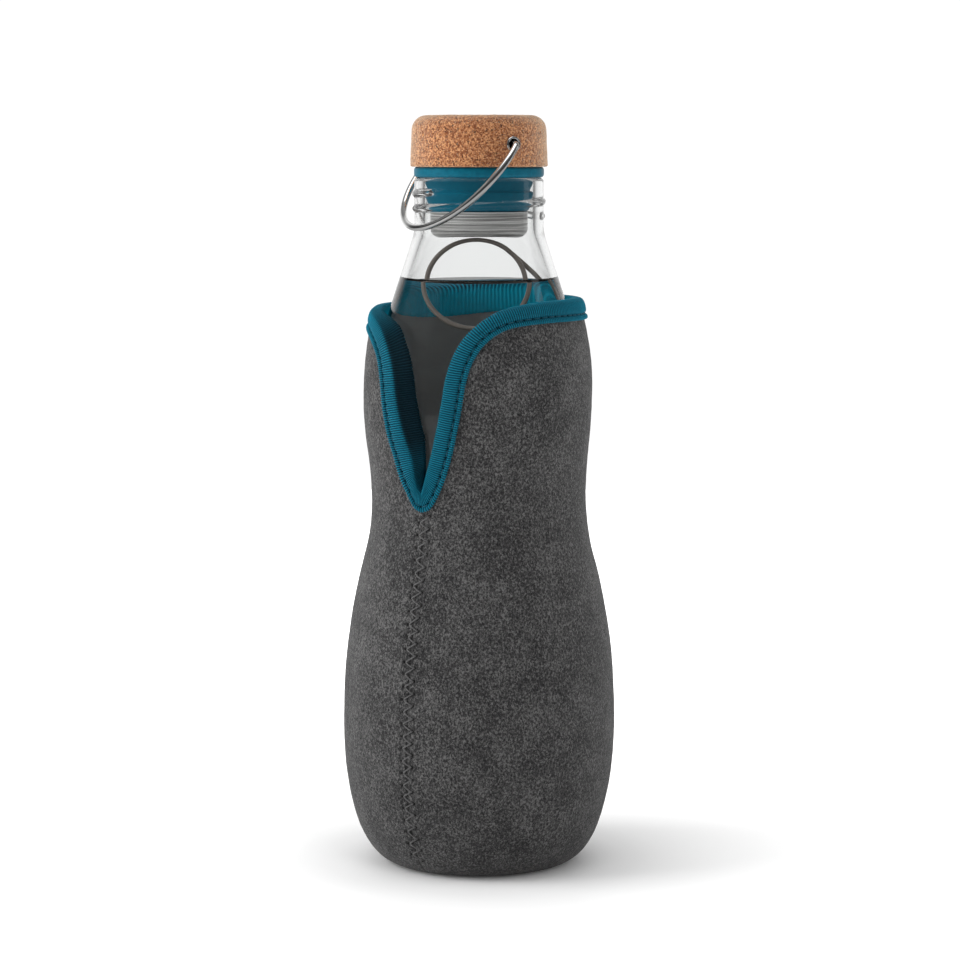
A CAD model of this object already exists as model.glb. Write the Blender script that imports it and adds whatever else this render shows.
"""Looks for the glass water bottle: knitted sleeve, taped rim, cork stopper, wire handle, charcoal coil.

Lengths are millimetres until a mesh is made, then metres. Azimuths are degrees round +Z, 0 at -Y and
90 at +X.
"""

import math

import bpy
import numpy as np
from mathutils import Matrix, Vector


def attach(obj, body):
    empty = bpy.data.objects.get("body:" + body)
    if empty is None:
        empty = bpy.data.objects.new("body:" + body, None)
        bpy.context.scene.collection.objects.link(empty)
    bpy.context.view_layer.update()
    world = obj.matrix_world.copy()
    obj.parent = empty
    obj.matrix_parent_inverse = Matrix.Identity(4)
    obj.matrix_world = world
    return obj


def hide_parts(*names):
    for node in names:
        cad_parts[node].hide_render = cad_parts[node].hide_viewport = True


MM = 0.001
VIEW_AZIMUTH = 30.5

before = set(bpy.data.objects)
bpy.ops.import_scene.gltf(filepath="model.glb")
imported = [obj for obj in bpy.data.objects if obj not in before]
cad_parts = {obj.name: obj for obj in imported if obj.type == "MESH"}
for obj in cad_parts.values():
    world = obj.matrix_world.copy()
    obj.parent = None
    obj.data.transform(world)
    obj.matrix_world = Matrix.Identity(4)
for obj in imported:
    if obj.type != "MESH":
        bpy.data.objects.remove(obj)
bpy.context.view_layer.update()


# ---------- The walls, as part.scad has them ----------

BELLY_Z, WAIST_Z, BULGE_Z = 45.0, 113.0, 143.0
GLASS_BELLY, GLASS_WAIST, GLASS_BULGE = 38.3, 29.4, 31.2
NECK_R, BORE_R, NECK_Z, LIP_Z = 19.5, 16.45, 194.4, 208.7
GLASS_WALL, GLASS_BASE_Z, GLASS_FLOOR_Z, GLASS_FOOT_R = 2.2, 3.2, 6.7, 23.0
SLOPE = math.radians(18)
NECK_FILLET = 12.0
CONE_TOP_Z = NECK_Z - NECK_FILLET * math.sin(SLOPE)
CONE_TOP_R = NECK_R + NECK_FILLET * (1 - math.cos(SLOPE))
BULGE_ARC = (CONE_TOP_R + math.tan(SLOPE) * (CONE_TOP_Z - BULGE_Z) - GLASS_BULGE) / (
    math.sin(SLOPE) * math.tan(SLOPE) - 1 + math.cos(SLOPE)
)
CONE_FOOT_Z = BULGE_Z + BULGE_ARC * math.sin(SLOPE)
SLEEVE_RISE, SLEEVE_T, SLEEVE_ARC, SLEEVE_FOOT_R = 3.2, 3.0, 108.0, 25.0
WATER_Z, MENISCUS = 176.8, 1.5
LEFT_DROP, LEFT_FLARE, RIM_HALF_WIDTH = 2.2, 1.5, 34


def arc_drop(r, h):
    """How far an arc of radius r falls away, h along its tangent."""
    return r - np.sign(r) * np.sqrt(np.maximum(r * r - h * h, 0))


def two_arcs(z, z0, r0, z1, r1, share):
    """Radius at height z on two tangent arcs, upright at both ends."""
    total = ((r0 - r1) ** 2 + (z1 - z0) ** 2) / (2 * (r0 - r1))
    return np.where(
        z < z0 + (z1 - z0) * share,
        r0 - arc_drop(total * share, z - z0),
        r1 + arc_drop(total * (1 - share), z1 - z),
    )


def wall_r(z, belly, waist, bulge, top_arc):
    z = np.asarray(z, float)
    low = two_arcs(z, BELLY_Z, belly, WAIST_Z, waist, 0.72)
    mid = two_arcs(z, WAIST_Z, waist, BULGE_Z, bulge, 0.5)
    top = bulge - arc_drop(top_arc, z - BULGE_Z)
    return np.where(z < WAIST_Z, low, np.where(z < BULGE_Z, mid, top))


def glass_r(z):
    z = np.asarray(z, float)
    body = wall_r(z, GLASS_BELLY, GLASS_WAIST, GLASS_BULGE, BULGE_ARC)
    cone = CONE_TOP_R + math.tan(SLOPE) * (CONE_TOP_Z - z)
    fillet = NECK_R + arc_drop(NECK_FILLET, np.minimum(NECK_Z - z, NECK_FILLET))
    return np.where(
        z < CONE_FOOT_Z, body, np.where(z < CONE_TOP_Z, cone, np.where(z < NECK_Z, fillet, NECK_R))
    )


def glass_wall(z):
    t = np.clip((np.asarray(z, float) - CONE_FOOT_Z) / (NECK_Z - CONE_FOOT_Z), 0, 1)
    return GLASS_WALL + (NECK_R - BORE_R - GLASS_WALL) * t


def bowl_r(z, foot_r, floor_z, belly_r):
    """Radius at height z of the superellipse that rounds the belly into the base."""
    t = np.clip((BELLY_Z - np.asarray(z, float)) / (BELLY_Z - floor_z), 0, 1)
    return foot_r + (belly_r - foot_r) * (1 - t**2.2) ** (1 / 2.2)


def sleeve_r(z):
    z = np.asarray(z, float)
    bulge = GLASS_BULGE + SLEEVE_RISE
    up = wall_r(z, GLASS_BELLY + SLEEVE_RISE, GLASS_WAIST + SLEEVE_RISE, bulge, SLEEVE_ARC)
    return np.where(z < BELLY_Z, bowl_r(z, SLEEVE_FOOT_R, 0, GLASS_BELLY + SLEEVE_RISE), up)


def smooth(a, b, x):
    """0 below a, 1 above b, and a smooth step between them."""
    t = np.clip((np.asarray(x, float) - a) / (b - a), 0, 1)
    return t * t * (3 - 2 * t)


def flare(azimuth, z):
    """How far the left flap of the notch stands off the bottle."""
    near = smooth(-80, -30, azimuth) * (1 - smooth(-14, 0, azimuth))
    return LEFT_FLARE * near * smooth(112, 134, z) * (1 - 0.55 * smooth(158, 176, z))


def left_dip(azimuth):
    """How much lower the rim is on the left."""
    return LEFT_DROP * smooth(12, 26, -RIM_HALF_WIDTH * np.sin(np.radians(azimuth)))


# ---------- Mesh helpers ----------


def turned(r, a, z):
    """Points at radius r and height z, turned round the Z axis by a radians."""
    return np.stack(np.broadcast_arrays(r * np.sin(a), -r * np.cos(a), z), -1)


def lattice_noise(p, size, seed):
    """Smooth random values from -1 to 1 at the points p, with lumps about size across."""
    n = 32
    table = np.random.default_rng(seed).uniform(-1, 1, (n, n, n))
    q = np.asarray(p, float) / size
    base = np.floor(q).astype(int)
    f = q - base
    f = f * f * (3 - 2 * f)
    out = np.zeros(len(q))
    for dx in (0, 1):
        for dy in (0, 1):
            for dz in (0, 1):
                w = (
                    (f[:, 0] if dx else 1 - f[:, 0])
                    * (f[:, 1] if dy else 1 - f[:, 1])
                    * (f[:, 2] if dz else 1 - f[:, 2])
                )
                i = (base + (dx, dy, dz)) % n
                out += w * table[i[:, 0], i[:, 1], i[:, 2]]
    return out


def catmull(keys, steps):
    """Smooth curve through the keys, with steps points for each stretch."""
    k = np.asarray(keys, float)
    out = []
    for i in range(len(k) - 1):
        a, b, c, d = k[max(0, i - 1)], k[i], k[i + 1], k[min(len(k) - 1, i + 2)]
        for s in range(steps):
            t = s / steps
            out.append(
                0.5
                * (
                    2 * b
                    + (c - a) * t
                    + (2 * a - 5 * b + 4 * c - d) * t * t
                    + (3 * b - a - 3 * c + d) * t**3
                )
            )
    out.append(k[-1])
    return np.array(out)


def resample(points, step):
    """The polyline at even spacing."""
    p = np.asarray(points, float)
    run = np.concatenate([[0], np.cumsum(np.linalg.norm(np.diff(p, axis=0), axis=1))])
    at = np.linspace(0, run[-1], int(run[-1] / step) + 1)
    return np.stack([np.interp(at, run, p[:, i]) for i in range(p.shape[1])], 1)


def grid_faces(rows, cols, wrap_rows=False):
    """Quads over a grid of points whose last column joins its first."""
    i = np.arange(rows if wrap_rows else rows - 1)[:, None]
    j = np.arange(cols)[None, :]
    i2, j2 = (i + 1) % rows, (j + 1) % cols
    quads = np.stack([i * cols + j, i * cols + j2, i2 * cols + j2, i2 * cols + j], -1)
    return quads.reshape(-1, 4).tolist()


def signed_volume(v, faces):
    """Six times the volume inside the triangles and quads, and negative where they face inwards."""
    total = 0.0
    for n in (3, 4):
        f = np.array([x for x in faces if len(x) == n])
        for k in range(1, n - 1) if len(f) else ():
            total += np.einsum("ij,ij->", v[f[:, 0]], np.cross(v[f[:, k]], v[f[:, k + 1]]))
    return total


def make(name, verts, faces, closed=True):
    """A smooth-shaded mesh object from millimetre points. A closed one is turned right side out."""
    v = np.asarray(verts, float)
    if closed and signed_volume(v, faces) < 0:
        faces = [f[::-1] for f in faces]
    mesh = bpy.data.meshes.new(name)
    mesh.from_pydata((v * MM).tolist(), [], faces)
    mesh.polygons.foreach_set("use_smooth", [True] * len(mesh.polygons))
    mesh.update()
    obj = bpy.data.objects.new(name, mesh)
    bpy.context.scene.collection.objects.link(obj)
    return obj


def lathe(name, profile, segments=192, ring=False, shift=None, closed=True):
    """Turns (r, z) points round the Z axis. Ends on the axis close to a point. Ring joins last to first."""
    prof = np.asarray(profile, float)
    low_pole, high_pole = (not ring and prof[0, 0] < 1e-6), (not ring and prof[-1, 0] < 1e-6)
    body = prof[1 if low_pole else 0 : len(prof) - 1 if high_pole else len(prof)]
    a = np.linspace(0, 2 * np.pi, segments, endpoint=False)
    r = np.repeat(body[:, :1], segments, 1)
    z = np.repeat(body[:, 1:], segments, 1)
    if shift is not None:
        r, z = shift(a[None, :], r, z)
    v = turned(r, a, z).reshape(-1, 3)
    rows, cols = len(body), segments
    faces = grid_faces(rows, cols, wrap_rows=ring)
    if low_pole:
        v = np.vstack([v, [[0, 0, prof[0, 1]]]])
        faces += [[len(v) - 1, (j + 1) % cols, j] for j in range(cols)]
    if high_pole:
        v = np.vstack([v, [[0, 0, prof[-1, 1]]]])
        top = (rows - 1) * cols
        faces += [[len(v) - 1, top + j, top + (j + 1) % cols] for j in range(cols)]
    return make(name, v, faces, closed)


def disc(name, profile, segments):
    """An open sheet turned round the Z axis, with its front up. It is stage."""
    obj = lathe(name, profile, segments, closed=False)
    if obj.data.polygons[0].normal.z < 0:
        obj.data.flip_normals()
    return obj


def tube_mesh(path, radius, sides):
    """Points and faces of a round tube along path, turned as little as possible. Its ends are domed."""
    p = np.asarray(path, float)
    t = np.gradient(p, axis=0)
    t /= np.linalg.norm(t, axis=1)[:, None]
    n = np.cross(t[0], [0.31, 0.52, 0.79])
    body = []
    for k in range(len(p)):
        n = n - (n @ t[k]) * t[k]
        n /= np.linalg.norm(n)
        body.append((p[k], t[k], n, radius))

    def dome(end, side, shares):
        c, along, out, r = end
        turns = [share * np.pi / 2 for share in shares]
        return [
            (c + side * along * r * math.cos(h), along, out, r * max(0.02, math.sin(h))) for h in turns
        ]

    stops = dome(body[0], -1, (0, 0.5, 0.85)) + body + dome(body[-1], 1, (0.85, 0.5, 0))
    a = np.linspace(0, 2 * np.pi, sides, endpoint=False)
    v = np.concatenate(
        [
            c + r * (np.outer(np.cos(a), out) + np.outer(np.sin(a), np.cross(along, out)))
            for c, along, out, r in stops
        ]
    )
    faces = grid_faces(len(stops), sides)
    return v, faces + [list(range(sides))[::-1], list(range(len(v) - sides, len(v)))]


def tubes(name, paths, radius, sides=8):
    """One object made of separate round tubes."""
    verts, faces, first = [], [], 0
    for path in paths:
        v, f = tube_mesh(path, radius, sides)
        verts.append(v)
        faces += [[i + first for i in x] for x in f]
        first += len(v)
    return make(name, np.concatenate(verts), faces)


def point_value(obj, name, values):
    """A number at each point, for the material to read."""
    attribute = obj.data.attributes.new(name, "FLOAT", "POINT")
    attribute.data.foreach_set("value", np.asarray(values, np.float32).ravel())


def place(obj, body, node):
    """The piece moves with the body and stands for the CAD node."""
    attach(obj, body)
    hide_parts(node)


# ---------- Materials ----------


def add_node(tree, kind, inputs=(), **props):
    n = tree.nodes.new("ShaderNode" + kind)
    for key, value in props.items():
        setattr(n, key, value)
    for key, value in dict(inputs).items():
        if isinstance(value, bpy.types.NodeSocket):
            tree.links.new(value, n.inputs[key])
        else:
            n.inputs[key].default_value = value
    return n


class Shade:
    """One procedural material, built from short calls. It is drawn in the piece's own millimetres."""

    def __init__(self, name, **sockets):
        self.mat = bpy.data.materials.new(name)
        self.mat.use_nodes = True
        self.tree = self.mat.node_tree
        self.bsdf = next(n for n in self.tree.nodes if n.type == "BSDF_PRINCIPLED")
        for key, value in sockets.items():
            self.set(key.replace("_", " "), value)
        coord = self.tree.nodes.new("ShaderNodeTexCoord").outputs["Object"]
        self.at = self.node("VectorMath", {0: coord, "Scale": 1000.0}, operation="SCALE").outputs[0]

    def set(self, key, value):
        socket = self.bsdf.inputs[key]
        if isinstance(value, bpy.types.NodeSocket):
            self.tree.links.new(value, socket)
        else:
            socket.default_value = (*value, 1) if socket.type == "RGBA" else value

    def node(self, kind, inputs=(), **props):
        return add_node(self.tree, kind, inputs, **props)

    def stretch(self, x, y, z):
        return self.node("VectorMath", {0: self.at, 1: (x, y, z)}, operation="MULTIPLY").outputs[0]

    def noise(self, scale, detail=2.0, rough=0.5, at=None, distortion=0.0):
        look = {"Scale": scale, "Detail": detail, "Roughness": rough, "Distortion": distortion}
        return self.node("TexNoise", {"Vector": at or self.at, **look}).outputs[0]

    def voronoi(self, scale, feature="F1", output="Distance"):
        n = self.node("TexVoronoi", {"Vector": self.at, "Scale": scale}, feature=feature)
        return n.outputs[output]

    def attribute(self, name):
        return self.node("Attribute", attribute_name=name).outputs["Fac"]

    def remap(self, value, a, b, to_a=0.0, to_b=1.0):
        n = self.node(
            "MapRange", {"Value": value, "From Min": a, "From Max": b, "To Min": to_a, "To Max": to_b}
        )
        return n.outputs[0]

    def math(self, op, a, b=0.0):
        return self.node("Math", {0: a, 1: b}, operation=op).outputs[0]

    def ramp(self, value, *stops):
        n = self.node("ValToRGB", {0: value})
        e = n.color_ramp.elements
        e[0].position, e[0].color = stops[0][0], (*stops[0][1], 1)
        e[1].position, e[1].color = stops[-1][0], (*stops[-1][1], 1)
        for position, colour in stops[1:-1]:
            e.new(position).color = (*colour, 1)
        return n.outputs[0]

    def mix(self, factor, a, b):
        n = self.node("Mix", data_type="RGBA")
        for index, value in ((0, factor), (6, a), (7, b)):
            if isinstance(value, bpy.types.NodeSocket):
                self.tree.links.new(value, n.inputs[index])
            else:
                n.inputs[index].default_value = (*value, 1) if isinstance(value, tuple) else value
        return n.outputs[2]

    def bump(self, *heights):
        """Each height is (socket, depth in mm, strength)."""
        normal = None
        for value, depth, strength in heights:
            n = self.node("Bump", {"Height": value, "Distance": depth * MM, "Strength": strength})
            if normal is not None:
                self.tree.links.new(normal, n.inputs["Normal"])
            normal = n.outputs[0]
        self.set("Normal", normal)

    def on(self, obj):
        obj.data.materials.clear()
        obj.data.materials.append(self.mat)


def knit_shade(name, dark, mid, light):
    """Heathered knit: a mottled fleck over slow clouds."""
    s = Shade(name, Roughness=0.88, Specular_IOR_Level=0.15, Sheen_Weight=0.14, Sheen_Roughness=0.45)
    grain = s.noise(1.6, 2.0, 0.62, s.stretch(1.0, 1.0, 0.8), 0.4)
    fleck = s.noise(2.9, 1.0, 0.5, s.stretch(1.0, 1.0, 0.7), 1.2)
    clouds = s.noise(0.11, 3.0, 0.6)
    fine = s.noise(6.0, 2.0, 0.6, s.stretch(1.0, 1.0, 2.2))
    value = s.math("ADD", s.math("MULTIPLY", grain, 0.55), s.math("MULTIPLY", fleck, 0.45))
    value = s.math("ADD", value, s.remap(clouds, 0.3, 0.7, -0.035, 0.035))
    value = s.math("ADD", value, s.remap(fine, 0.3, 0.7, -0.02, 0.02))
    colour = s.ramp(value, (0.38, dark), (0.5, mid), (0.61, light))
    pale = s.remap(s.noise(3.1, 1.0, 0.5), 0.4, 0.75, 0.0, 0.22)
    s.set("Base Color", s.mix(pale, colour, tuple(1.15 * c for c in light)))
    s.bump((value, 0.35, 0.7), (fine, 0.08, 0.6))
    return s


# ---------- Glass and water ----------

BEAD_H, BEAD_HALF, BEAD_Z, BEAD_PITCH = 0.66, 1.1, 199.3, 4.5


def bead_height(azimuth, z):
    """The screw bead's rise over the neck."""
    total = np.zeros_like(z)
    for turn in (-1, 0, 1):
        along = (azimuth - VIEW_AZIMUTH + 180) % 360 - 180 + 360 * turn
        centre = BEAD_Z + BEAD_PITCH * (along + 90) / 360
        fade = smooth(-274, -262, along) * (1 - smooth(311, 323, along))
        x = np.clip(np.abs(z - centre) / BEAD_HALF, 0, 1)
        total = np.maximum(total, fade * BEAD_H * np.cos(x * np.pi / 2) ** 0.8)
    return total


def arc_points(cx, cz, r, a0, a1, n):
    """Points of an arc about (cx, cz), from a0 to a1 degrees."""
    a = np.radians(np.linspace(a0, a1, n))
    return np.stack([cx + r * np.cos(a), cz + r * np.sin(a)], 1)


def row_points(r0, r1, z, n, endpoint=True):
    """Level points from radius r0 to r1."""
    r = np.linspace(r0, r1, n, endpoint=endpoint)
    return np.stack([r, np.full(n, z)], 1)


def dished(r, z, rise, n):
    """A base's underside from the axis out to radius r, hollowed by rise in the middle."""
    share = np.linspace(0, 1, n, endpoint=False)
    return np.stack([r * share, z + rise * np.cos(share * np.pi / 2) ** 2], 1)


def bowl_points(foot_r, floor_z, belly_r, n=26):
    """The section that bowl_r gives, from the foot up to the belly."""
    a = np.radians(np.linspace(0, 90, n, endpoint=False))
    r = foot_r + (belly_r - foot_r) * np.sin(a) ** (2 / 2.2)
    return np.stack([r, BELLY_Z - (BELLY_Z - floor_z) * np.cos(a) ** (2 / 2.2)], 1)


def wall_points(z0, z1, step, inner):
    z = np.linspace(z0, z1, int((z1 - z0) / step) + 1)
    return np.stack([glass_r(z) - (glass_wall(z) if inner else 0), z], 1)


def build_glass():
    """Bare glass, with its wetted inside as a second material slot."""
    contact = WATER_Z + MENISCUS
    outer = np.concatenate(
        [
            dished(GLASS_FOOT_R, GLASS_BASE_Z, 0.9, 10),
            bowl_points(GLASS_FOOT_R, GLASS_BASE_Z, GLASS_BELLY),
            wall_points(BELLY_Z, NECK_Z, 1.5, False)[:-1],
            np.stack([np.full(82, NECK_R), np.linspace(NECK_Z, LIP_Z - 1.3, 82)], 1),
            arc_points(NECK_R - 1.2, LIP_Z - 1.2, 1.2, 0, 90, 9),
        ]
    )
    inner = np.concatenate(
        [
            arc_points(BORE_R + 0.6, LIP_Z - 0.6, 0.6, 90, 180, 6),
            np.stack([np.full(5, BORE_R), np.linspace(LIP_Z - 2, NECK_Z + 0.5, 5)], 1),
            wall_points(contact, NECK_Z, 1.2, True)[::-1],
        ]
    )
    wet = np.concatenate(
        [
            wall_points(BELLY_Z, contact, 1.2, True)[::-1][1:],
            bowl_points(GLASS_FOOT_R - GLASS_WALL / 2, GLASS_FLOOR_Z, GLASS_BELLY - GLASS_WALL)[::-1],
            row_points(GLASS_FOOT_R - 3, 0, GLASS_FLOOR_Z - 0.1, 8),
        ]
    )

    def shift(a, r, z):
        on_neck = (np.arange(r.shape[0]) < len(outer) - 9)[:, None] & (z > NECK_Z - 2)
        return r + np.where(on_neck, bead_height(np.degrees(a), z), 0), z

    glass = lathe("bottle_glass", np.concatenate([outer, inner, wet]), 288, shift=shift)
    place(glass, "bottle", "glass_bottle")

    def clear(name, ior):
        s = Shade(name, Roughness=0.0, IOR=ior, Transmission_Weight=1.0)
        ripple = s.noise(0.09, 2.0, 0.4, s.stretch(1.0, 1.0, 0.35))
        s.set("Base Color", s.mix(ripple, (0.985, 0.995, 0.992), (0.995, 1.0, 0.998)))
        s.bump((ripple, 0.25, 0.10))
        return s.mat

    glass.data.materials.append(clear("clear glass", 1.5))
    glass.data.materials.append(clear("clear glass against water", 1.128))
    centres = np.zeros(len(glass.data.polygons) * 3)
    glass.data.polygons.foreach_get("center", centres)
    x, y, z = centres.reshape(-1, 3).T / MM
    bowl = bowl_r(z, GLASS_FOOT_R, GLASS_BASE_Z, GLASS_BELLY)
    outside = np.where(z < BELLY_Z, bowl, glass_r(z)) - 0.6
    wetted = (z < contact) & (z > GLASS_FLOOR_Z - 0.5) & (np.hypot(x, y) < outside)
    glass.data.polygons.foreach_set("material_index", wetted.astype(int))
    glass.visible_shadow = False


def build_water():
    """The water's open top, climbing the glass in a small meniscus. The bottle is weighed empty."""
    contact = WATER_Z + MENISCUS
    edge = float(glass_r(contact) - glass_wall(contact)) + 0.04
    r = np.concatenate([np.linspace(0, edge - 4, 8, endpoint=False), np.linspace(edge - 4, edge, 15)])
    z = WATER_Z + MENISCUS * np.exp(-(edge - r) / 1.2)
    water = disc("water_surface", np.stack([r, z], 1), 192)
    water.visible_shadow = False
    s = Shade("water", Roughness=0.0, IOR=1.33, Transmission_Weight=1.0)
    s.bump((s.noise(0.2, 1.0, 0.4), 0.02, 0.1))
    s.on(water)


# ---------- Sleeve ----------

# Rim stations from the notch's tip to the side: the tape's lower edge, then the roll's top, each as
# azimuth, z.
RIM = [
    [0, 110.5, 0, 116.3],
    [4.5, 111.7, 0.6, 117.7],
    [9, 115.6, 1.6, 120],
    [13.3, 121.3, 3.3, 123.4],
    [17, 128.2, 6.4, 129.3],
    [20.1, 136, 9.8, 137.2],
    [22.3, 143, 12, 144],
    [24.2, 149.8, 13.9, 150.5],
    [27.3, 155.2, 17.4, 157],
    [32.5, 160, 24.2, 163.2],
    [40, 163.4, 35, 168],
    [50, 165.4, 47, 170.6],
    [70, 166.4, 69.3, 172.2],
    [90, 166.5, 90, 172.5],
]


def half_rim():
    """Right half of the rim, from the notch's tip round to the back, in the columns of RIM."""
    return catmull(RIM + [[a, 166.5, a, 172.5] for a in range(100, 181, 10)], 24)


def on_wall(azimuth, z, out):
    """Points that stand out from the sleeve's outer face."""
    return turned(sleeve_r(z) + out + flare(azimuth, z), np.radians(azimuth), z)


def rim_stations(step):
    """The whole rim at even spacing, from the back round the left, the tip and the right.

    Gives the stations in the columns of RIM, how far along each is in mm, and the whole length."""
    half = half_rim()
    left = half[::-1].copy()
    # The left leg leans in by a degree, and spreads by some degrees near the tip.
    for k, spread in ((0, 0.4), (2, 1.6)):
        z = left[:, k + 1]
        left[:, k] *= -1
        left[:, k] += smooth(120, 128, z) * (1 - smooth(154, 164, z))
        left[:, k] -= spread * smooth(115.5, 118, z) * (1 - smooth(118, 128, z))
        z -= left_dip(left[:, k])
    keys = np.concatenate([left, half[1:]])
    mid_a, mid_z = (keys[:, 0] * 2 + keys[:, 2]) / 3, (keys[:, 1] * 2 + keys[:, 3]) / 3
    path = on_wall(mid_a, mid_z, 0.5)
    run = np.concatenate([[0], np.cumsum(np.linalg.norm(np.diff(path, axis=0), axis=1))])
    count = int(round(run[-1] / step))
    at = np.arange(count) * run[-1] / count
    return np.stack([np.interp(at, run, keys[:, i]) for i in range(4)], 1), at, run[-1]


ZIGZAG_TOP, ZIGZAG_FOOT, ZIGZAG_PITCH, ZIGZAG_HALF = 109.2, 5.5, 3.7, 1.5


def zigzag_turns():
    """Where the zigzag's needle holes are, as (x, z)."""
    n = int((ZIGZAG_TOP - ZIGZAG_FOOT) / (ZIGZAG_PITCH / 2))
    rng = np.random.default_rng(11)
    out = []
    for i in range(n + 1):
        x = ZIGZAG_HALF * (-1) ** i
        z = ZIGZAG_TOP - i * ZIGZAG_PITCH / 2
        out.append((x + rng.uniform(-0.12, 0.12), z + rng.uniform(-0.15, 0.15)))
    return np.array(out)


def seam_drift(z):
    """The seam wanders a little from the middle: azimuth in degrees."""
    return 0.72 * smooth(95, 112, z) + 0.42 * smooth(60, 80, z) - 1.6 * (1 - smooth(5, 62, z))


def build_sleeve():
    # Columns crowd together over the seam, and are closer near the notch than round the back.
    spans = ((-7, 7.01, 0.32), (7.6, 34, 0.7), (35, 326, 1.0), (326.5, 352.9, 0.7))
    azimuth = np.concatenate([np.arange(*span) for span in spans])
    cols = len(azimuth)
    signed = np.where(azimuth > 180, azimuth - 360, azimuth)
    half = half_rim()
    edge_a, edge_z = half[:, 0] * 0.45 + half[:, 2] * 0.55, half[:, 1] * 0.45 + half[:, 3] * 0.55
    order = np.argsort(edge_a)
    top = np.interp(np.abs(signed), edge_a[order], edge_z[order]) - left_dip(signed)

    rows = 330
    share = np.linspace(0, 1, rows)[:, None]
    # Rows bunch towards the floor, where the bowl turns under.
    z = top[None, :] * share**1.12
    a = np.radians(azimuth)[None, :]
    out = sleeve_r(z) + flare(signed, z)
    base = turned(out, a, z).reshape(-1, 3)
    soft = 0.0
    for depth, size, seed in ((0.16, 17, 3), (0.07, 6, 4), (0.035, 1.6, 5)):
        soft = soft + depth * lattice_noise(base, size, seed)
    soft = soft.reshape(rows, cols) * smooth(0, 4, z)
    # The seam under the notch: a shallow groove with a dimple at each needle hole.
    seamed = z < 111
    x = np.radians(signed - seam_drift(z)) * out
    groove = -0.28 * np.exp(-((x / 0.38) ** 2)) * (np.abs(signed) < 8) * seamed
    pucker = 0.16 * np.exp(-(((np.abs(x) - 3.0) / 1.3) ** 2)) * (np.abs(signed) < 14) * seamed
    dark = 0.35 * np.exp(-((x / 0.3) ** 2)) * seamed
    for hx, hz in zigzag_turns():
        w = np.exp(-(((x - hx * 1.3) / 0.55) ** 2) - (((z - hz) / 0.5) ** 2))
        groove -= 0.5 * w
        dark = np.maximum(dark, w)
    r = out + soft + groove + pucker * (0.6 + 0.4 * np.sin(z * 2 * np.pi / ZIGZAG_PITCH))
    outer = turned(r, a, z)

    rows_in = 90
    share = np.linspace(1, 0, rows_in)[:, None]
    zi = SLEEVE_T + (top[None, :] - SLEEVE_T) * share**1.12
    bowl = bowl_r(zi, GLASS_FOOT_R, SLEEVE_T, GLASS_BELLY + 0.2)
    inner = turned(np.where(zi < BELLY_Z, bowl, sleeve_r(zi) - SLEEVE_T) + flare(signed, zi), a, zi)
    # The bottom edge turns under to the base panel's seam.
    lip = np.stack([turned(q, a[0], h) for q, h in ((23.6, 3.0), (24.4, 2.6), (24.75, 1.6), (24.8, 0.8))])
    v = np.concatenate([outer, inner, lip]).reshape(-1, 3)
    total = rows + rows_in + len(lip)
    obj = make("sleeve_knit", v, grid_faces(total, cols, wrap_rows=True))
    marks = np.zeros((total, cols))
    marks[:rows] = dark * (np.abs(signed) < 8)
    point_value(obj, "seam", marks)
    place(obj, "bottle", "sleeve_body")

    s = knit_shade("grey knit", (0.004, 0.004, 0.005), (0.031, 0.0305, 0.031), (0.126, 0.124, 0.123))
    link = s.bsdf.inputs["Base Color"].links[0].from_socket
    s.set("Base Color", s.mix(s.attribute("seam"), link, (0.004, 0.004, 0.004)))
    s.on(obj)

    # The inside is bare neoprene, smooth and plain.
    lining = Shade("neoprene lining", Roughness=0.7, Specular_IOR_Level=0.2)
    skin = lining.noise(0.35, 2.0, 0.5)
    lining.set("Base Color", lining.mix(skin, (0.26, 0.261, 0.262), (0.33, 0.331, 0.332)))
    lining.bump((skin, 0.1, 0.3))
    obj.data.materials.append(lining.mat)
    face_row = np.arange(len(obj.data.polygons)) // cols
    lined = (face_row >= rows) & (face_row < rows + rows_in)
    obj.data.polygons.foreach_set("material_index", lined.astype(int))
    return obj


def build_zigzag():
    turns = zigzag_turns()
    paths = []
    for (x0, z0), (x1, z1) in zip(turns[:-1], turns[1:]):
        t = np.linspace(0, 1, 9)
        x, z = x0 + (x1 - x0) * t, z0 + (z1 - z0) * t
        r = sleeve_r(z)
        lift = -0.3 + 0.62 * np.sin(np.pi * t) ** 0.55
        azimuth = seam_drift(z) + np.degrees(x / r)
        paths.append(on_wall(azimuth, z, lift))
    obj = tubes("front_seam_zigzag", paths, 0.18)
    place(obj, "bottle", "sleeve_seam_thread")
    s = Shade("grey thread", Roughness=0.7, Sheen_Weight=0.2)
    ply = s.noise(5.0, 2.0, 0.6)
    s.set("Base Color", s.ramp(ply, (0.3, (0.04, 0.04, 0.04)), (0.7, (0.14, 0.14, 0.14))))
    s.bump((ply, 0.08, 0.8))
    s.on(obj)
    return obj, s


# The tape's section: (from the lower edge, out) then (from the roll's top, out), in mm.
TAPE_LOW = [
    (0.6, -0.3), (0.15, -0.05), (-0.08, 0.3), (-0.1, 0.7), (0.05, 0.98), (0.4, 1.1), (0.78, 1.06),
    (1.06, 0.86), (1.26, 0.56), (1.5, 0.42), (1.74, 0.52), (1.94, 0.8), (2.2, 1.0), (2.65, 1.12), (3.2, 1.18),
]
TAPE_HIGH = [
    (2.4, 1.2), (1.7, 1.19), (1.1, 1.13), (0.58, 0.94), (0.2, 0.55), (0.02, 0.0), (-0.03, -0.7),
    (-0.03, -1.3), (0.05, -1.9), (0.28, -2.4), (0.65, -2.8), (1.2, -3.1), (2.0, -3.3), (3.2, -3.35),
    (4.6, -3.35), (6.2, -3.35), (7.8, -3.3), (9.0, -3.2), (9.35, -2.9), (9.2, -2.5),
]
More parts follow.
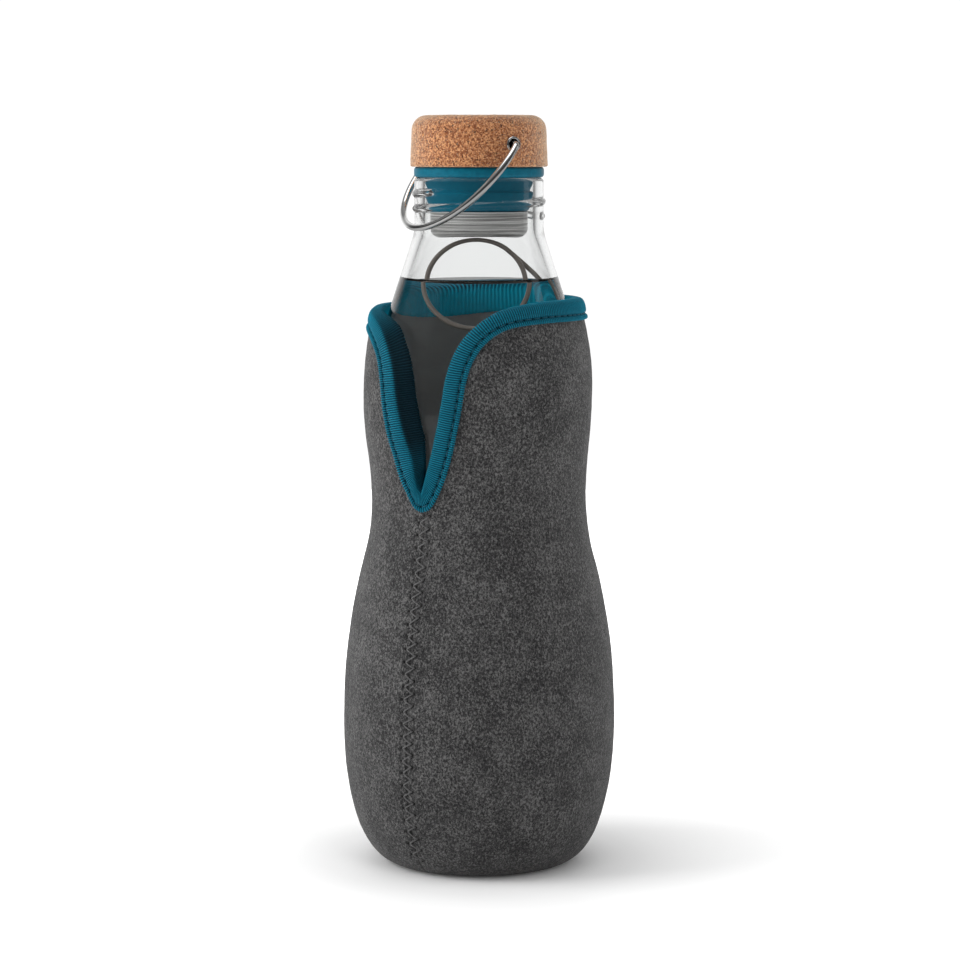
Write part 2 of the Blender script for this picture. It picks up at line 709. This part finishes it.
RIB_PITCH, STITCH_PITCH, CHANNEL = 0.68, 2.9, 1.5
LEFT_FOLD = 4.4


def build_tape():
    stations, run, length = rim_stations(RIB_PITCH / 6)
    ribs = round(length / RIB_PITCH)
    stitches = round(length / STITCH_PITCH)
    low, high = stations[:, :2], stations[:, 2:]
    mm_per_degree = np.radians(1) * sleeve_r((low[:, 1] + high[:, 1]) / 2)
    width = np.hypot((high[:, 0] - low[:, 0]) * mm_per_degree, high[:, 1] - low[:, 1])
    # On the left of the notch the fold leans in over the glass, and shows its shaded inner face.
    fold = np.minimum(LEFT_FOLD, 1.15 * -high[:, 0] * mm_per_degree).clip(0)
    fold *= 1 - smooth(160, 171, high[:, 1])
    sections = [(d / width, n) for d, n in TAPE_LOW]
    for b, n in TAPE_HIGH:
        lean = fold * smooth(-0.3, 2.2, -n) * (1 - smooth(0.6, 6.0, b))
        sections.append((1 - (b - lean) / width, n))
    rows, cols = len(sections), len(run)
    pts = np.zeros((rows, cols, 3))
    phase = run / length
    hole = 0.5 + 0.5 * np.cos(2 * np.pi * phase * stitches)
    for i, (w, n) in enumerate(sections):
        azimuth = low[:, 0] + (high[:, 0] - low[:, 0]) * w
        z = low[:, 1] + (high[:, 1] - low[:, 1]) * w
        out = np.full(cols, n)
        if n < -2.9:
            out = np.maximum(out, glass_r(z) + 0.1 - sleeve_r(z) - 0.6 * flare(azimuth, z))
        if i in (8, 9, 10):
            out = out - 0.2 * hole**3
        pts[i] = on_wall(azimuth, z, out)
    across = np.roll(pts, -1, 0) - np.roll(pts, 1, 0)
    along = np.roll(pts, -1, 1) - np.roll(pts, 1, 1)
    normal = np.cross(along, across)
    normal /= np.linalg.norm(normal, axis=2)[:, :, None] + 1e-9
    outward = pts.copy()
    outward[:, :, 2] = 0
    if np.mean(np.einsum("ijk,ijk->ij", normal[4:16], outward[4:16])) < 0:
        normal = -normal
    rib = np.cos(2 * np.pi * phase * ribs)
    wobble = lattice_noise(pts.reshape(-1, 3), 5, 21).reshape(rows, cols)
    shown = np.ones((rows, 1))
    shown[0] = shown[-1] = 0
    shown[len(TAPE_LOW) + 12 :] *= 0.3
    depth = (0.15 * rib[None, :] + 0.05 * wobble) * shown
    v = (pts + normal * depth[:, :, None]).reshape(-1, 3)
    obj = make("rim_tape", v, grid_faces(rows, cols, wrap_rows=True))
    section = np.arange(rows)[:, None] - len(TAPE_LOW)
    face = smooth(2.6, 4.4, section) * (1 - smooth(11.5, 13.5, section))
    channel = np.zeros((rows, cols))
    channel[8:11] = 0.3 + 0.5 * hole[None, :] ** 2
    channel[7] = channel[11] = 0.1
    point_value(obj, "rib", rib[None, :] * shown)
    point_value(obj, "inner", np.repeat(smooth(0, 4, section - 9), cols, 1))
    point_value(obj, "channel", channel)
    point_value(obj, "fold", face * (fold / LEFT_FOLD).clip(0, 1) ** 0.5)
    place(obj, "bottle", "sleeve_binding")

    s = Shade("teal tape", Roughness=0.62, Specular_IOR_Level=0.12, Sheen_Weight=0.1, Sheen_Roughness=0.4)
    s.set("Sheen Tint", (0.05, 0.55, 0.7))
    weave = s.noise(4.5, 2.0, 0.6)
    patches = s.noise(0.22, 2.0, 0.5)
    ribs_and_weave = s.math(
        "ADD", s.remap(s.attribute("rib"), -1, 1, 0.0, 0.84), s.remap(weave, 0.3, 0.7, -0.1, 0.12)
    )
    colour = s.ramp(
        ribs_and_weave,
        (0.0, (0.0006, 0.018, 0.03)),
        (0.45, (0.002, 0.08, 0.125)),
        (1.0, (0.005, 0.22, 0.325)),
    )
    colour = s.mix(s.remap(patches, 0.3, 0.7, 0.0, 0.25), colour, (0.003, 0.055, 0.09))
    # The leg inside the sleeve has kept its colour, out of the sun.
    colour = s.mix(s.math("MULTIPLY", s.attribute("inner"), 0.85), colour, (0.004, 0.46, 0.66))
    colour = s.mix(s.math("MULTIPLY", s.attribute("fold"), 0.94), colour, (0.0004, 0.006, 0.0105))
    s.set("Base Color", s.mix(s.attribute("channel"), colour, (0.0008, 0.012, 0.02)))
    s.bump((weave, 0.1, 0.6))
    s.on(obj)

    # Lock stitches in the channel, each a short arched bar.
    paths = []
    for k in range(stitches):
        t = np.linspace((k + 0.17) / stitches, (k + 0.83) / stitches, 9) * length
        low_a, low_z, high_a, high_z = (np.interp(t, run, column) for column in stations.T)
        w = CHANNEL / np.interp(t, run, width)
        lift = 0.3 + 0.24 * np.sin(np.pi * np.linspace(0, 1, 9)) ** 0.6
        paths.append(on_wall(low_a + (high_a - low_a) * w, low_z + (high_z - low_z) * w, lift))
    thread = tubes("rim_stitches", paths, 0.17)
    place(thread, "bottle", "binding_stitches")
    s = Shade("teal thread", Roughness=0.55)
    ply = s.noise(6.0, 2.0, 0.6)
    s.set("Base Color", s.ramp(ply, (0.3, (0.003, 0.05, 0.08)), (0.7, (0.01, 0.12, 0.18))))
    s.bump((ply, 0.06, 0.8))
    s.on(thread)
    return obj, thread


def build_base(thread_shade):
    r = np.concatenate([np.linspace(0, 20, 26), np.linspace(20.4, 23.9, 12)])
    under = 0.35 * (1 - smooth(12, 21, r))
    edge = arc_points(23.9, 0.8, 0.8, -90, 0, 7)
    prof = np.concatenate([np.stack([r, under], 1), edge[1:], [[24.7, 2.95], [0, 2.95]]])

    def shift(a, r, z):
        lump = 0.12 * (0.5 + 0.5 * lattice_noise(turned(r, a, z).reshape(-1, 3), 5, 8)).reshape(r.shape)
        return r, z + lump * (z < 0.7) * (1 - smooth(20, 23, r))

    obj = lathe("base_panel", prof, 192, shift=shift)
    place(obj, "bottle", "sleeve_base")
    s = knit_shade("grey knit base", (0.008, 0.008, 0.009), (0.032, 0.032, 0.033), (0.09, 0.09, 0.09))
    s.on(obj)
    paths = []
    count = 62
    for k in range(count):
        t = np.radians(np.linspace(k + 0.12, k + 0.88, 9) * 360 / count)
        swing = -0.5 * (-1) ** k * np.sin(np.linspace(-1.2, 1.2, 9))
        h = 0.55 - 0.28 * np.sin(np.pi * np.linspace(0, 1, 9)) ** 0.6
        paths.append(turned(24.9 + swing, t, h))
    stitches = tubes("base_seam_stitches", paths, 0.22)
    place(stitches, "bottle", "base_seam_thread")
    thread_shade.on(stitches)
    return obj, stitches


# ---------- Stopper ----------

PIVOT_Z, PIVOT_AZIMUTH, HANDLE_TILT = 218.6, 60.0, 49.4
CORK_Z, CORK_TOP, CORK_R, CORK_ROUND, CORK_DRAFT = 211.9, 227.3, 20.7, 4.5, 0.4
SOCKET_R, SOCKET_DEPTH, CORK_FLAT_R = 14.55, 5.35, 15.3


def spin(p, degrees):
    """Points turned about Z."""
    p = np.asarray(p, float)
    c, s = math.cos(math.radians(degrees)), math.sin(math.radians(degrees))
    return np.stack([p[..., 0] * c - p[..., 1] * s, p[..., 0] * s + p[..., 1] * c, p[..., 2]], -1)


def from_pivot(p):
    """Points drawn with the pivot along X, put on the pivot."""
    return spin(p, PIVOT_AZIMUTH - 90) + (0, 0, PIVOT_Z)


def build_cork():
    side_r = np.linspace(CORK_R, CORK_R - CORK_DRAFT, 34)
    side_z = np.linspace(CORK_Z + 0.7, CORK_TOP - CORK_ROUND, 34)
    corner_r = CORK_R - CORK_DRAFT - CORK_ROUND
    prof = np.concatenate(
        [
            [[0, CORK_TOP - SOCKET_DEPTH], [SOCKET_R, CORK_TOP - SOCKET_DEPTH]],
            row_points(SOCKET_R, CORK_R - 0.7, CORK_Z, 16),
            arc_points(CORK_R - 0.6, CORK_Z + 0.6, 0.6, -80, -5, 5),
            np.stack([side_r, side_z], 1),
            arc_points(corner_r, CORK_TOP - CORK_ROUND, CORK_ROUND, 4, 90, 22),
            row_points(CORK_FLAT_R, 0, CORK_TOP, 34),
        ]
    )

    def shift(a, r, z):
        p = turned(r, a, z).reshape(-1, 3)
        grain = (0.06 * lattice_noise(p, 0.9, 31) + 0.02 * lattice_noise(p, 2.3, 32)).reshape(r.shape)
        pit = np.clip(lattice_noise(p, 0.75, 33) - 0.62, 0, 1).reshape(r.shape) * 1.3
        chip = np.clip(lattice_noise(p, 1.3, 34) - 0.35, 0, 1).reshape(r.shape)
        shown = (np.arange(r.shape[0]) > 3)[:, None] & (r > 15.0)
        corner = np.exp(-(((z - CORK_Z) / 0.9) ** 2)) * (r > 18)
        move = (grain - pit - 0.35 * chip * corner) * shown
        onto_top = smooth(CORK_TOP - 3, CORK_TOP - 0.2, z)
        flat_top = (z > CORK_TOP - 0.01) & (r <= CORK_FLAT_R + 0.1)
        dz = np.minimum(np.where(flat_top, grain - pit, move * onto_top), 0.05)
        return np.minimum(r + move * (1 - onto_top), CORK_R + 0.05), z + dz - 0.05 * flat_top

    obj = lathe("cork_top", prof, 420, shift=shift)
    # The eyelets' holes go right through.
    v, f = tube_mesh(from_pivot([[x, 0, 0] for x in np.linspace(-24, 24, 5)]), 2.0, 40)
    cutter = make("cork_cutter", v, f)
    cut = obj.modifiers.new("eyelet holes", "BOOLEAN")
    cut.operation, cut.solver, cut.object = "DIFFERENCE", "EXACT", cutter
    bpy.context.view_layer.update()
    mesh = bpy.data.meshes.new_from_object(obj.evaluated_get(bpy.context.evaluated_depsgraph_get()))
    obj.modifiers.clear()
    obj.data = mesh
    bpy.data.objects.remove(cutter)
    place(obj, "stopper", "cork_cap")

    s = Shade("pressed cork", Roughness=0.7, Specular_IOR_Level=0.35, Sheen_Weight=1.0, Sheen_Roughness=0.4)
    s.set("Sheen Tint", (1.0, 0.86, 0.66))
    tone = s.node("SeparateColor", {0: s.voronoi(2.4, output="Color")}).outputs[0]
    small = s.noise(4.2, 2.0, 0.65)
    body = s.ramp(
        s.math("ADD", s.math("MULTIPLY", tone, 0.45), s.math("MULTIPLY", small, 0.62)),
        (0.25, (0.1, 0.02, 0.006)),
        (0.5, (0.27, 0.08, 0.0245)),
        (0.74, (0.63, 0.3, 0.125)),
    )
    crumbs = s.remap(s.noise(1.9, 3.0, 0.7, distortion=0.6), 0.62, 0.7)
    pits = s.remap(s.noise(3.1, 2.0, 0.7, s.stretch(1.3, 1.0, 0.9)), 0.66, 0.73)
    dots = s.remap(s.voronoi(0.58), 0.23, 0.14)
    pale = s.remap(s.noise(2.7, 1.0, 0.5, s.stretch(0.9, 1.2, 1.4)), 0.62, 0.7)
    for mask, share, colour in (
        (crumbs, 0.85, (0.045, 0.014, 0.006)),
        (pits, 0.8, (0.07, 0.022, 0.01)),
        (dots, 0.85, (0.045, 0.012, 0.005)),
        (pale, 0.5, (0.66, 0.4, 0.22)),
    ):
        body = s.mix(s.math("MULTIPLY", mask, share), body, colour)
    s.set("Base Color", body)
    gaps = s.remap(s.voronoi(1.9, "DISTANCE_TO_EDGE"), 0.0, 0.12)
    s.bump((gaps, 0.12, 0.5), (small, 0.14, 0.7), (s.math("SUBTRACT", 1.0, crumbs), 0.25, 0.8))
    s.on(obj)


def build_silicone():
    core_r, flange_z, flange_r, round_r = 12.56, LIP_Z + 0.05, 19.6, 1.0
    lips = [
        (core_r, 198.7), (14.3, 198.7), (14.95, 198.95), (15.25, 199.6), (15.4, 200.7), (15.65, 201.6),
        (16.05, 202.7), (16.3, 203.5), (16.36, 203.9), (16.3, 204.3), (15.95, 204.52), (15.5, 204.6),
        (15.38, 204.8), (15.45, 205.1), (15.7, 205.7), (16.1, 206.6), (16.34, 207.4), (16.38, 207.9),
        (16.3, 208.25), (16.1, 208.5), (16.2, 208.72), (16.6, flange_z),
    ]
    prof = np.concatenate(
        [
            lips,
            row_points(17, flange_r - round_r, flange_z, 5),
            arc_points(flange_r - round_r, flange_z + round_r, round_r, -80, 0, 8),
            arc_points(flange_r - round_r, CORK_Z - round_r, round_r, 0, 90, 8),
            [[core_r, CORK_Z]],
        ]
    )
    obj = lathe("silicone_lips", prof, 224, ring=True)
    place(obj, "stopper", "silicone_seal")
    s = Shade("teal silicone", Specular_IOR_Level=0.12)
    haze = s.noise(0.6, 3.0, 0.6)
    rings = s.noise(1.0, 2.0, 0.6, s.stretch(0.02, 0.02, 3.0))
    colour = s.mix(s.remap(haze, 0.3, 0.7), (0.002, 0.085, 0.135), (0.003, 0.122, 0.185))
    # Below the flange the silicone is clean and a little brighter.
    z = s.node("SeparateXYZ", {0: s.at}).outputs["Z"]
    below = s.remap(z, LIP_Z + 0.3, LIP_Z - 0.3, 0.0, 0.6)
    s.set("Base Color", s.mix(below, colour, (0.002, 0.15, 0.24)))
    s.set("Roughness", s.remap(haze, 0.3, 0.7, 0.36, 0.5))
    s.bump((rings, 0.05, 0.5), (s.noise(9.0, 1.0, 0.5), 0.01, 0.4))
    s.on(obj)


def build_cup():
    r, z, corner, wall = 14.7, 191.0, 2.8, 0.5
    prof = np.concatenate(
        [
            dished(r - corner, z, 0.25, 12),
            arc_points(r - corner, z + corner, corner, -90, 0, 16),
            [[r, z + 4.5], [r, z + 7.3]],
            arc_points(r - wall / 2, z + 7.35, wall / 2, 0, 180, 6),
            [[r - wall, z + 4.5]],
            arc_points(r - corner, z + corner, corner - wall, 0, -90, 12),
            [[0, z + wall + 0.2]],
        ]
    )
    obj = lathe("cup_steel", prof, 224)
    place(obj, "stopper", "steel_cup")
    s = Shade("turned steel", Metallic=0.5, Anisotropic=0.6)
    rings = s.noise(1.0, 3.0, 0.75, s.stretch(0.03, 0.03, 3.0))
    broad = s.noise(1.0, 2.0, 0.6, s.stretch(0.02, 0.02, 0.9))
    tones = ((0.38, (0.2, 0.197, 0.19)), (0.5, (0.6, 0.595, 0.585)), (0.6, (0.95, 0.945, 0.93)))
    s.set("Base Color", s.ramp(rings, *tones))
    s.set("Roughness", s.remap(broad, 0.3, 0.7, 0.27, 0.42))
    s.bump((rings, 0.06, 0.8), (broad, 0.1, 0.6))
    s.on(obj)


def polished(name, base, rough, metal=1.0):
    """Bright metal with fine scuffs."""
    s = Shade(name, Metallic=metal)
    scuffs = s.noise(3.0, 3.0, 0.7, s.stretch(1.0, 1.0, 0.4))
    s.set("Base Color", s.mix(scuffs, tuple(0.93 * c for c in base), base))
    s.set("Roughness", s.remap(scuffs, 0.35, 0.7, rough, rough + 0.08))
    s.bump((scuffs, 0.012, 0.4))
    return s


def build_eyelet(name, side, node, shade):
    """A rolled tube through the cork's wall, on the pivot's side 1 or -1."""
    seat, root = CORK_R - 0.1, 15.2
    prof = np.concatenate(
        [
            [[1.6, root], [1.58, seat - 0.4]],
            arc_points(1.95, seat + 0.1, 0.37, 180, -30, 14),
            [[2.0, seat - 0.12], [1.97, seat - 0.6], [1.95, root]],
        ]
    )
    a = np.linspace(0, 2 * np.pi, 72, endpoint=False)
    x = side * np.repeat(prof[:, 1:], len(a), 1)
    v = np.stack([x, prof[:, :1] * np.cos(a), prof[:, :1] * np.sin(a)], -1).reshape(-1, 3)
    obj = make(name, from_pivot(v), grid_faces(len(prof), len(a), wrap_rows=True))
    place(obj, "stopper", node)
    shade.on(obj)


def build_handle(shade):
    """The wire loop, hanging from its pins HANDLE_TILT degrees below level."""
    drop, bend, loop, wire = 8.4, 2.2, 24.2, 1.05
    bend_x = math.sqrt((loop - bend) ** 2 - (drop - bend) ** 2)
    meet = math.degrees(math.asin((drop - bend) / (loop - bend)))
    half = np.concatenate(
        [
            np.stack([np.linspace(17 + wire, bend_x, 6, endpoint=False), np.zeros(6)], 1),
            arc_points(bend_x, -bend, bend, 90, meet, 12)[:-1],
            arc_points(0, -drop, loop, meet, -90, 100),
        ]
    )
    other = half[::-1][1:].copy()
    other[:, 0] *= -1
    flat = np.concatenate([half, other])
    tilt = math.radians(HANDLE_TILT)
    path = np.stack([flat[:, 0], flat[:, 1] * math.cos(tilt), flat[:, 1] * math.sin(tilt)], 1)
    obj = tubes("handle_wire", [from_pivot(path)], wire, 28)
    place(obj, "handle", "wire_handle")
    shade.on(obj)


# ---------- Charcoal and its coil ----------


STICK_X = 16


def build_coil():
    """A ring that leans in the shoulder, a long strand down the wall, and a helix round the charcoal."""
    lean, ring_r, coil_r, wire = math.radians(22), 14.4, 8.4, 0.7
    ring_x, ring_y, ring_z = -0.8, -11.5, 176.8
    a = np.radians(np.arange(402, 51.9, -2.5))
    up, out = ring_r * np.sin(a), ring_r * np.cos(a)
    ring = np.stack([ring_x + out, ring_y + up * math.sin(lean), ring_z + up * math.cos(lean)], 1)
    a = np.radians(-np.arange(0, 5.5 * 360 + 1, 6.0))
    helix = np.stack([STICK_X + coil_r * np.cos(a), coil_r * np.sin(a), np.linspace(100, 9, len(a))], 1)
    strand = [
        [17.6, -5.6, 178.5], [21.4, -5, 171.5], [25, -3, 160], [27, -1, 145], [26.4, 0, 130], [25.2, 0, 114],
    ]
    strand = catmull([ring[-1], *strand, helix[0]], 14)
    path = resample(np.concatenate([ring[:-1], strand[:-1], helix]), 0.7)
    obj = tubes("coil_wire", [spin(path, VIEW_AZIMUTH)], wire, 14)
    place(obj, "bottle", "charcoal_coil")
    polished("drawn coil wire", (0.27, 0.24, 0.215), 0.28, 0.6).on(obj)


def build_charcoal():
    """A burnt stick with grain along it and cracks across it."""
    low_z, high_z, stick_r, end_r = 7.8, 95.6, 6.5, 2.8
    share = np.linspace(0, 1, 150)
    ends = np.sqrt(1 - ((np.abs(share - 0.5) - 0.485) / 0.015).clip(0, 1) ** 2)
    side = np.stack([stick_r * (0.8 + 0.2 * ends), low_z + (high_z - low_z) * share], 1)
    prof = np.concatenate([[[0, low_z], [end_r, low_z]], side, [[end_r, high_z], [0, high_z]]])

    def shift(a, r, z):
        p = turned(r, a, z).reshape(-1, 3)
        bark = lattice_noise(p * (1, 1, 0.12), 1.1, 41).reshape(r.shape)
        crack = np.clip(lattice_noise(p, 3.2, 42).reshape(r.shape) - 0.45, 0, 1)
        rough = lattice_noise(p, 0.8, 43).reshape(r.shape)
        return r + (-0.25 - 0.3 * np.abs(bark) - 1.1 * crack + 0.08 * rough) * smooth(0, 5, r), z

    obj = lathe("charcoal", prof, 96, shift=shift)
    obj.data.transform(Matrix.Translation(spin([STICK_X, 0, 0], VIEW_AZIMUTH) * MM))
    place(obj, "bottle", "charcoal_stick")
    s = Shade("charcoal")
    grain = s.noise(0.8, 4.0, 0.7, s.stretch(1.0, 1.0, 0.15))
    s.set("Base Color", s.ramp(grain, (0.3, (0.006, 0.006, 0.006)), (0.7, (0.035, 0.034, 0.033))))
    s.set("Roughness", s.remap(grain, 0.3, 0.7, 0.5, 0.9))
    s.bump((grain, 0.3, 0.8), (s.noise(4.0, 2.0, 0.6), 0.1, 0.6))
    s.on(obj)


# ---------- Build the object ----------

build_glass()
build_water()
sleeve = build_sleeve()
zigzag, grey_thread = build_zigzag()
tape, tape_thread = build_tape()
base_panel, base_stitches = build_base(grey_thread)
build_cork()
build_silicone()
build_cup()
bright = polished("polished wire", (0.86, 0.86, 0.85), 0.07)
build_eyelet("eyelet_right", 1, "right_eyelet", bright)
build_eyelet("eyelet_left", -1, "left_eyelet", bright)
build_handle(bright)
build_coil()
build_charcoal()

core_shade = Shade("moulded core", Roughness=0.5)
core_grain = core_shade.noise(2.0, 2.0, 0.5)
core_shade.set("Base Color", core_shade.mix(core_grain, (0.03, 0.03, 0.032), (0.045, 0.045, 0.047)))
core_shade.bump((core_grain, 0.03, 0.4))
core_shade.on(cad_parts["stopper_core"])


# ---------- Stage, light and camera ----------

ahead = Vector((-math.sin(math.radians(VIEW_AZIMUTH)), math.cos(math.radians(VIEW_AZIMUTH)), 0))
right = Vector((math.cos(math.radians(VIEW_AZIMUTH)), math.sin(math.radians(VIEW_AZIMUTH)), 0))
up = Vector((0, 0, 1))
middle = Vector((0, 0, 0.11))


def build_floor():
    """A white round floor, darker where polished parts reflect it and glowing away from the bottle."""
    floor = disc("floor", np.array([[r, 0.0] for r in (0, 60, 120, 200, 400, 700, 1000)]), 96)
    s = Shade("white floor", Roughness=0.6, Specular_IOR_Level=0.2)
    mottle = s.noise(0.02, 2.0, 0.5)
    polished_sees = s.node("LightPath").outputs["Is Glossy Ray"]
    paint = s.mix(mottle, (0.9, 0.9, 0.9), (0.92, 0.92, 0.92))
    s.set("Base Color", s.mix(polished_sees, paint, (0.25, 0.25, 0.25)))
    s.set("Emission Color", (1.0, 1.0, 1.0))
    away = s.node("VectorMath", {0: s.at}, operation="LENGTH").outputs["Value"]
    glow = s.remap(away, 48, 240, 0.04, 0.9)
    s.set("Emission Strength", s.math("MULTIPLY", glow, s.remap(polished_sees, 0, 1, 1.0, 0.15)))
    s.on(floor)


def panel(name, centre, width, height, radiance, seen):
    """A rectangular softbox aimed at the bottle. Radiance is what it shows as, with 1 as white."""
    light = bpy.data.lights.new(name, "AREA")
    light.shape, light.size, light.size_y = "RECTANGLE", width, height
    light.energy = radiance * math.pi * width * height
    obj = bpy.data.objects.new(name, light)
    bpy.context.scene.collection.objects.link(obj)
    obj.location = centre
    obj.rotation_euler = (centre - middle).to_track_quat("Z", "Y").to_euler()
    obj.visible_camera = False
    obj.visible_diffuse = "diffuse" in seen
    obj.visible_glossy = "glossy" in seen
    obj.visible_transmission = False


def around(turn, distance, height):
    """A place round the bottle: turn is degrees to the right of the camera's own direction."""
    t = math.radians(turn)
    return -ahead * math.cos(t) * distance + right * math.sin(t) * distance + up * height


def build_light():
    """A room that is white ahead of the camera and dark behind it, and six softboxes."""
    world = bpy.data.worlds.new("studio")
    bpy.context.scene.world = world
    world.use_nodes = True
    tree = world.node_tree
    tree.nodes.clear()

    def node(kind, inputs=(), **props):
        return add_node(tree, kind, inputs, **props)

    def math_of(operation, a, b):
        return node("Math", {0: a, 1: b}, operation=operation).outputs[0]

    def facing(direction):
        at = node("TexCoord").outputs["Generated"]
        return node("VectorMath", {0: at, 1: direction}, operation="DOT_PRODUCT").outputs["Value"]

    def remap(value, low, high, from_min=0.0, from_max=1.0, kind="LINEAR"):
        ends = {"From Min": from_min, "From Max": from_max, "To Min": low, "To Max": high}
        return node("MapRange", {"Value": value, **ends}, interpolation_type=kind).outputs[0]

    back = facing(tuple(ahead))
    high = facing((0, 0, 1))
    path = node("LightPath").outputs
    # Rays that pass straight through the glass see a paler room than rays that are reflected.
    straight = remap(path["Glossy Depth"], 0.42, 0.05)
    dim = remap(path["Is Transmission Ray"], 0.05, straight)
    soft = remap(back, 0.12, 0.9, 0.1, 0.75, "SMOOTHSTEP")
    sharp = remap(back, dim, 0.97, 0.6, 0.88, "SMOOTHSTEP")
    picks = math_of("MAXIMUM", path["Is Glossy Ray"], path["Is Transmission Ray"])
    behind = remap(picks, soft, sharp)
    above = remap(high, 0.0, 0.75, 0.35, 0.9, "SMOOTHSTEP")
    roof = remap(picks, above, math_of("MULTIPLY", above, 0.35))
    room = math_of("MAXIMUM", behind, roof)
    shown = math_of("MAXIMUM", room, math_of("MULTIPLY", path["Is Camera Ray"], 1.05))
    background = node("Background", {"Color": (1, 1, 1, 1), "Strength": shown})
    node("OutputWorld", {"Surface": background.outputs[0]})

    # turn, distance and height of each softbox; its width, its height and its radiance; what sees it
    for name, spot, width, height, radiance, seen in (
        ("key", (-80, 0.8, 0.42), 0.5, 0.8, 5.25, "diffuse"),
        ("left_card", (-88, 0.62, 0.55), 0.75, 0.46, 0.14, "glossy"),
        ("fill", (25, 0.85, 0.55), 0.3, 0.45, 2.15, "diffuse"),
        ("right_strip", (88, 0.7, 0.25), 0.3, 0.8, 1.25, "diffuse"),
        ("right_card", (92, 0.7, 0.3), 0.16, 0.6, 0.7, "glossy"),
        ("top", (-20, 0.12, 1.0), 0.7, 0.7, 1.5, "diffuse and glossy"),
    ):
        panel(name, around(*spot), width, height, radiance, seen)


def build_camera():
    distance, aside, height, tilt = 0.9, 0.0003, 0.2169, math.radians(83.66)
    focal_px, image_px, sensor = 2970, 960, 36
    data = bpy.data.cameras.new("camera")
    camera = bpy.data.objects.new("camera", data)
    bpy.context.scene.collection.objects.link(camera)
    camera.location = -ahead * distance + right * aside + up * height
    camera.rotation_euler = (tilt, 0, math.radians(VIEW_AZIMUTH))
    data.lens = focal_px / image_px * sensor
    data.sensor_width = sensor
    data.clip_start, data.clip_end = 0.05, 50
    bpy.context.scene.camera = camera


build_floor()
build_light()
build_camera()
scene = bpy.context.scene
scene.view_settings.view_transform = "Standard"
scene.view_settings.look = "None"
